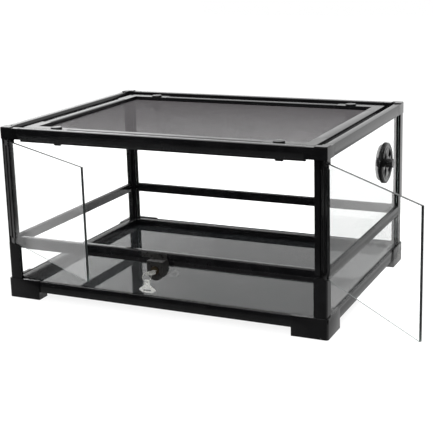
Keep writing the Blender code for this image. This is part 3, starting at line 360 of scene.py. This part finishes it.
plating = {
    "patches": (500, 4),
    "roughness": (0.2, 0.34),
    "relief": {"noise": (2500, 2, (1, 1, 6)), "strength": 0.2, "distance": 0.00002},
}
finishLooks = {
    "blackFloorGlass": {
        "patches": (60, 6),
        "shades": ((0.008, 0.009, 0.010), (0.014, 0.015, 0.016)),
        "shineBand": (0.4, 0.75),
        "roughness": (0.01, 0.02),
        "sockets": {"IOR": 1.42},
    },
    "coatedWire": {
        "patches": (900, 2),
        "shades": ((0.095, 0.088, 0.093), (0.135, 0.126, 0.132)),
        "roughness": (0.38, 0.5),
        "sockets": {"Metallic": 0.1},
    },
    "castEnamel": {
        "patches": (260, 4),
        "shades": ((0.010, 0.010, 0.010), (0.020, 0.019, 0.018)),
        "roughness": (0.26, 0.42),
        "sockets": {},
        "relief": {"noise": (1100, 3), "strength": 0.3, "distance": 0.00006},
    },
    # A dull near-black for the hinge strip's groove: painted shade
    "dullGrooveShade": {
        "patches": (120, 4),
        "shades": ((0.0035, 0.0035, 0.0035), (0.0065, 0.0065, 0.0065)),
        "roughness": (0.6, 0.75),
        "sockets": {"Specular IOR Level": 0.12},
        "relief": {"noise": (1800, 2), "strength": 0.2, "distance": 0.00003},
    },
    "nickelPlate": {
        **plating,
        "shades": ((0.42, 0.42, 0.40), (0.60, 0.60, 0.57)),
        "sockets": {"Metallic": 0.6},
    },
    # The key's plating again, painted lighter for the tag: a painted highlight where it catches the light
    "nickelWithPaintedHighlight": {
        **plating,
        "shades": ((0.76, 0.76, 0.73), (0.92, 0.92, 0.89)),
        "sockets": {"Metallic": 0.25},
    },
    # Brass tone, painted dark as the shade the lock's cylinder sits in
    "brassWithPaintedShade": {
        "patches": (700, 4),
        "shades": ((0.050, 0.040, 0.026), (0.110, 0.085, 0.055)),
        "roughness": (0.3, 0.45),
        "sockets": {"Metallic": 1.0},
    },
}

drawnAlong = {direction: framePlastic("plasticDrawnAlong" + direction, direction) for direction in "XYZ"}
drawnAlong["moulded"] = framePlastic("mouldedPlastic", "moulded")
sillPlastic = framePlastic("satinSillPlastic", "X", 0.25)
stripPlastic = framePlastic("satinStripPlastic", "Z", 0.3)
paneGlass = clearMaterial("paneGlass", clearGlass["face"])
groundEdge = clearMaterial("groundEdge", clearGlass["ground"])
finishes = {name: wornMaterial(name, look) for name, look in finishLooks.items()}
print("materials ready")

# Frame, lid, shoes and port: the solids' own shapes with their edges broken

edges = {"frame": 0.00035, "steel": 0.0002, "sharper": 40, "segments": 2, "smoothUpTo": 20}
cleaning = {"doubles": 0.000001, "flatWithin": math.radians(0.5)}
bodyOf = {node: body for body, nodes in frame["record"]["behaviour"]["bodies"].items() for node in nodes}
slotOf = {part["node"]: part["material_slot"] for part in frame["record"]["subparts"]}


def joinFlatFaces(bm):
    bmesh.ops.dissolve_limit(bm, angle_limit=cleaning["flatWithin"], verts=bm.verts[:], edges=bm.edges[:])


def mergedMesh(node):
    bm = bmesh.new()
    bm.from_mesh(frame["nodes"][node].data)
    bmesh.ops.remove_doubles(bm, verts=bm.verts[:], dist=cleaning["doubles"])
    joinFlatFaces(bm)
    return bm


def breakEdges(bm, width, sharperThan=edges["sharper"], segments=edges["segments"]):
    sharp = [e for e in bm.edges if e.is_manifold and e.calc_face_angle(0) > math.radians(sharperThan)]
    bmesh.ops.bevel(bm, geom=sharp, offset=width, offset_type="OFFSET", affect="EDGES",
                    segments=segments, profile=0.5, material=-1, clamp_overlap=True)


def finishPiece(bm, name, body, node, materials, smoothUpTo=edges["smoothUpTo"]):
    mesh = bpy.data.meshes.new(name)
    bm.to_mesh(mesh)
    bm.free()
    for material in materials:
        mesh.materials.append(material)
    mesh.shade_smooth()
    mesh.set_sharp_from_angle(angle=math.radians(smoothUpTo))
    obj = bpy.data.objects.new(name, mesh)
    scene.collection.objects.link(obj)
    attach(obj, body)
    if node:
        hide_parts(node)


def showNode(bm, node, *materials):
    finishPiece(bm, node + "_shown", bodyOf[node], node, materials)


def lengthDirection(node):
    low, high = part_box(node)
    size = high - low
    if "post" in node:
        return "Z"
    if "rail" in node or "bar" in node or "sill" in node:
        return "X" if size.x > size.y else "Y"
    return "moulded"


def addBlock(bm, low, high, place):
    size = [b - a for a, b in zip(low, high)]
    middle = [(a + b) / 2 for a, b in zip(low, high)]
    made = bmesh.ops.create_cube(bm, size=1.0,
                                 matrix=place @ Matrix.Translation(middle) @ Matrix.Diagonal((*size, 1)))
    return {face for vert in made["verts"] for face in vert.link_faces}


def cutBox(bm, near, far):
    # Cuts a block out of the mesh, by way of two objects that are removed again
    cutter = bmesh.new()
    addBlock(cutter, near, far, Matrix())
    objects = []
    for name, source in (("blank", bm), ("cutter", cutter)):
        mesh = bpy.data.meshes.new(name)
        source.to_mesh(mesh)
        source.free()
        obj = bpy.data.objects.new(name, mesh)
        scene.collection.objects.link(obj)
        objects.append(obj)
    blank, tool = objects
    modifier = blank.modifiers.new("cut", "BOOLEAN")
    modifier.operation = "DIFFERENCE"
    modifier.object = tool
    result = bmesh.new()
    result.from_object(blank, bpy.context.evaluated_depsgraph_get())
    for obj in objects:
        mesh = obj.data
        bpy.data.objects.remove(obj)
        bpy.data.meshes.remove(mesh)
    joinFlatFaces(result)
    return result


# Three posts and the middle rails are angles: how deep they are, measured from their outer faces
thinned = {"left_post": 0.0083, "rear_right_post": 0.0083, "mid_rail": 0.0105}
cabinet = {"half": (0.3, 0.225), "middle": (-0.098721, 0.102514)}
cutReach = {"inward": 0.05, "past": 0.01}
# The base rail's inner wall behind the front pane, above the floor
behindFrontPane = ((-0.5, -0.1141, 0.0212), (0.3, -0.09, 0.05))


def thinSection(bm, node, depth):
    # Takes away what lies further in than the depth from both outer faces
    low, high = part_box(node)
    middle = (low + high) / 2
    past = cutReach["past"]
    spans = []
    for axis in (0, 1):
        side = 1 if middle[axis] > cabinet["middle"][axis] else -1
        outer = cabinet["middle"][axis] + side * cabinet["half"][axis]
        inner = outer - side * depth
        spans.append((inner, inner - side * cutReach["inward"]))
    if "rail" in node:
        along = 0 if high.x - low.x > high.y - low.y else 1
        spans[along] = (low[along] - past, high[along] + past)
    near = [min(span) for span in spans] + [low.z - past]
    far = [max(span) for span in spans] + [high.z + past]
    return cutBox(bm, near, far)


ventSteps = {  # where each piece's steps along its axis go: from, to
    "vent_bush": ((0.197779, 0.197779), (0.199779, 0.198779)),
    "vent_dial": ((0.199779, 0.198879), (0.206779, 0.2020), (0.224779, 0.2122)),
    "vent_nut": ((0.186979, 0.190779), (0.192979, 0.192979)),
}
ventRim = {"middle": (0.22001, 0.215), "inner": 0.036, "outer": 0.040, "newOuter": 0.0376, "within": 0.0001}


def slimVentPiece(bm, steps):
    # Draws a turned piece thinner along its axis, and its rim a little smaller
    middleY, middleZ = ventRim["middle"]
    inner, within = ventRim["inner"], ventRim["within"]
    for vert in bm.verts:
        for (a, newA), (b, newB) in zip(steps, steps[1:]):
            if a - within <= vert.co.x <= b + within:
                vert.co.x = newA + (vert.co.x - a) * (newB - newA) / (b - a)
                break
        y, z = vert.co.y - middleY, vert.co.z - middleZ
        radius = math.hypot(y, z)
        if radius > inner:
            share = (radius - inner) / (ventRim["outer"] - inner)
            scale = (inner + share * (ventRim["newOuter"] - inner)) / radius
            vert.co.y, vert.co.z = middleY + y * scale, middleZ + z * scale


def refineFrame():
    count = 0
    for node, slot in slotOf.items():
        if slot != "frame_black":
            continue
        bm = mergedMesh(node)
        if node in ventSteps:
            slimVentPiece(bm, ventSteps[node])
        if node == "front_base_rail":
            bm = cutBox(bm, *behindFrontPane)
        for ending, depth in thinned.items():
            if node.endswith(ending):
                bm = thinSection(bm, node, depth)
        breakEdges(bm, edges["frame"])
        showNode(bm, node, sillPlastic if node == "door_sill" else drawnAlong[lengthDirection(node)])
        count += 1
    print("frame pieces refined:", count)


refineFrame()

# Glass: each pane with its arrises ground off, the edge faces in ground glass

paneEdges = {"arris": 0.0005, "sharper": 60, "segments": 1, "broadFace": 0.9}
doors = {  # the hinge's axis, and the heading of the pane from it
    "left_door": {"axis": (-0.392221, -0.119986), "heading": -30.8},
    "right_door": {"axis": (0.194779, -0.119986), "heading": -45.5},
}
hingeProfile = {
    "glassFrom": 0.006,  # the pane is cut back to here from the axis
    "blocks": {  # start, end and half thickness of each
        "heel": (-0.003, 0.006, 0.002),
        "nearFace": (0.006, 0.0092, 0.0035),
        "farFace": (0.0148, 0.0222, 0.0035),
        # the groove's floor, dull black as painted shade
        "grooveShade": (0.0092, 0.0148, 0.0025),
    },
    "shoe": 0.0082,  # left free for the shoe at each end
    "arris": 0.0004,
}


def doorPlace(body):
    # Local X runs from the hinge axis along the pane
    door = doors[body]
    return Matrix.Translation((*door["axis"], 0)) @ Matrix.Rotation(math.radians(door["heading"]), 4, "Z")


def cutPaneBack(bm, place):
    cut = bmesh.ops.bisect_plane(bm, geom=bm.verts[:] + bm.edges[:] + bm.faces[:], clear_inner=True,
                                 plane_co=place @ Vector((hingeProfile["glassFrom"], 0, 0)),
                                 plane_no=place.to_3x3() @ Vector((1, 0, 0)))
    rim = [e for e in cut["geom_cut"] if isinstance(e, bmesh.types.BMEdge)]
    bmesh.ops.edgeloop_fill(bm, edges=rim)
    bmesh.ops.recalc_face_normals(bm, faces=bm.faces[:])


def refinePane(node):
    bm = mergedMesh(node)
    if bodyOf[node] in doors:
        cutPaneBack(bm, doorPlace(bodyOf[node]))
    breakEdges(bm, paneEdges["arris"], paneEdges["sharper"], paneEdges["segments"])
    bm.normal_update()
    broad = max(bm.faces, key=lambda face: face.calc_area()).normal.copy()
    for face in bm.faces:
        face.material_index = 0 if abs(face.normal.dot(broad)) > paneEdges["broadFace"] else 1
    if slotOf[node] == "glass_black":
        showNode(bm, node, finishes["blackFloorGlass"], finishes["blackFloorGlass"])
    else:
        showNode(bm, node, paneGlass, groundEdge)


def addHingeStrip(body):
    # The strip up a door's hinge edge: two raised faces with a recessed strip between them, in a dull black
    # that paints the groove's shade
    low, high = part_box(body + "_pane")
    bottom, top = low.z + hingeProfile["shoe"], high.z - hingeProfile["shoe"]
    place = doorPlace(body)
    bm = bmesh.new()
    for block, (start, end, half) in hingeProfile["blocks"].items():
        for face in addBlock(bm, (start, -half, bottom), (end, half, top), place):
            face.material_index = 1 if block == "grooveShade" else 0
    breakEdges(bm, hingeProfile["arris"], paneEdges["sharper"])
    finishPiece(bm, body + "_hinge_strip", body, None,
                [stripPlastic, finishes["dullGrooveShade"]])


for node, slot in slotOf.items():
    if slot in ("glass_clear", "glass_black"):
        refinePane(node)
for body in doors:
    addHingeStrip(body)
print("panes refined")

# Screen: two layers of fine straight wire in place of the net of wide gaps

screen = {
    "wire": 0.00014,  # its radius
    "pitch": 0.0015,
    "sides": 6,
    "smoothUpTo": 70,
}


def layWires(bm, low, high, along, height):
    across = 1 - along
    wire = screen["wire"]
    count = round((high[across] - low[across]) / screen["pitch"])
    step = (high[across] - low[across] - 2 * wire) / count
    turn = Matrix.Rotation(math.radians(90), 4, "Y" if along == 0 else "X")
    for i in range(count + 1):
        middle = [(low[0] + high[0]) / 2, (low[1] + high[1]) / 2, height]
        middle[across] = low[across] + wire + i * step
        bmesh.ops.create_cone(bm, cap_ends=True, segments=screen["sides"], radius1=wire, radius2=wire,
                              depth=high[along] - low[along], matrix=Matrix.Translation(middle) @ turn)


def weaveScreen():
    low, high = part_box("screen_mesh")
    middle = (low.z + high.z) / 2
    bm = bmesh.new()
    layWires(bm, low, high, 0, middle + screen["wire"])
    layWires(bm, low, high, 1, middle - screen["wire"])
    finishPiece(bm, "screenWires", "lid", "screen_mesh", [finishes["coatedWire"]],
                screen["smoothUpTo"])
    print("screen laid")


weaveScreen()

# Lock, key, ring and tag

lockPieces = {  # finish, and how far the edges are broken
    "lock_housing": ("castEnamel", edges["frame"]),
    "lock_bolt": ("castEnamel", edges["frame"]),
    # the cylinder's brass is painted dark as its shade
    "lock_cylinder": ("brassWithPaintedShade", edges["steel"]),
    "lock_key": ("nickelPlate", edges["steel"]),
    "key_ring": ("nickelPlate", None),
    # the tag's plating carries a painted highlight
    "key_tag": ("nickelWithPaintedHighlight", edges["steel"]),
}


def refineLock():
    for node, (finish, edge) in lockPieces.items():
        bm = mergedMesh(node)
        if edge:
            breakEdges(bm, edge)
        showNode(bm, node, finishes[finish])
    print("lock ready")


refineLock()
